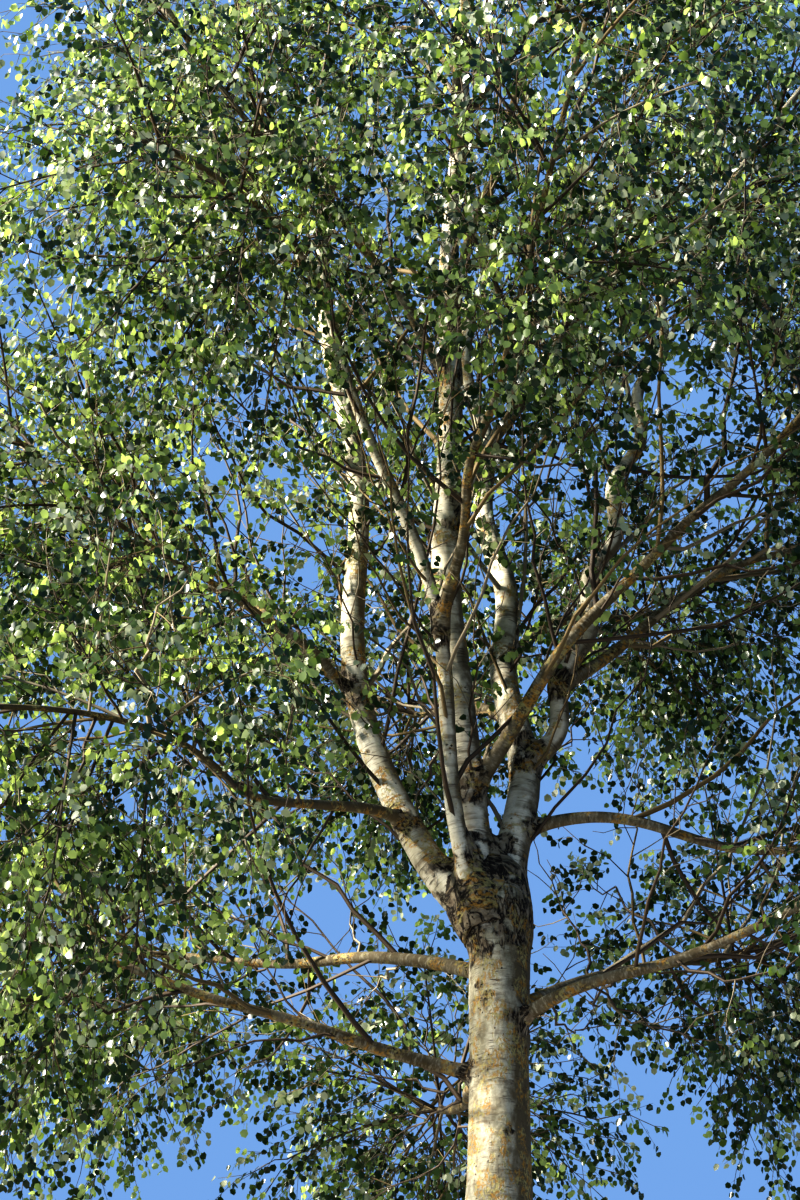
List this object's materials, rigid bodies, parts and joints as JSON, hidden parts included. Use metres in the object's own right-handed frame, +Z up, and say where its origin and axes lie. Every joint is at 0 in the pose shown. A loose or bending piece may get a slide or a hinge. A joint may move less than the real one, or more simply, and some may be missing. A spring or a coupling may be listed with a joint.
{
  "type": "grey poplar tree",
  "caption": "Whole rooted poplar: a flared trunk forks into pale swaying stems whose boughs each carry a separate mass of summer foliage.",
  "frame": {"origin": "centre of the flat cut under the trunk, at ground level", "axes": "+Z up the trunk, +X to the right and +Y away, as the picture sees the tree"},
  "size_m": [8.5744, 8.1684, 16.4177],
  "materials": {
    "trunk_bark": "pale grey-green bark with dark cross marks, rough and brown low down",
    "stem_bark": "smooth creamy bark with dark diamond marks and orange lichen",
    "bough_bark": "grey-brown bark with ochre lichen",
    "foliage": "matt green leaves, some bright where lit through, some silvery below"
  },
  "bodies": {
    "root": {"trunk": "trunk_bark", "stem_right": "stem_bark", "stem_left": "stem_bark", "stem_leaning": "stem_bark", "stem_front": "stem_bark", "stem_right_outer": "stem_bark", "stem_left_branch": "stem_bark", "bough_low_1": "bough_bark", "bough_low_2": "bough_bark", "bough_low_3": "bough_bark", "bough_low_4": "bough_bark", "bough_low_5": "bough_bark", "bough_low_6": "bough_bark", "bough_low_7": "bough_bark", "bough_middle_1": "bough_bark", "bough_middle_2": "bough_bark", "bough_middle_3": "bough_bark", "bough_middle_4": "bough_bark", "bough_middle_5": "bough_bark", "bough_middle_7": "bough_bark", "bough_middle_8": "bough_bark", "bough_upper_5": "bough_bark", "bough_upper_6": "bough_bark", "bough_top_1": "bough_bark", "bough_top_2": "bough_bark", "bough_top_3": "bough_bark", "foliage_low_1": "foliage", "foliage_low_2": "foliage", "foliage_low_3": "foliage", "foliage_low_4": "foliage", "foliage_low_5": "foliage", "foliage_low_6": "foliage", "foliage_low_7": "foliage", "foliage_middle_1": "foliage", "foliage_middle_2": "foliage", "foliage_middle_3": "foliage", "foliage_middle_4": "foliage", "foliage_middle_5": "foliage", "foliage_middle_6": "foliage", "foliage_middle_7": "foliage", "foliage_middle_8": "foliage", "foliage_upper_1": "foliage", "foliage_upper_2": "foliage", "foliage_upper_3": "foliage", "foliage_upper_4": "foliage", "foliage_upper_5": "foliage", "foliage_upper_6": "foliage", "foliage_top_1": "foliage", "foliage_top_2": "foliage", "foliage_top_3": "foliage", "foliage_leader_1": "foliage"}
  },
  "joints": []
}
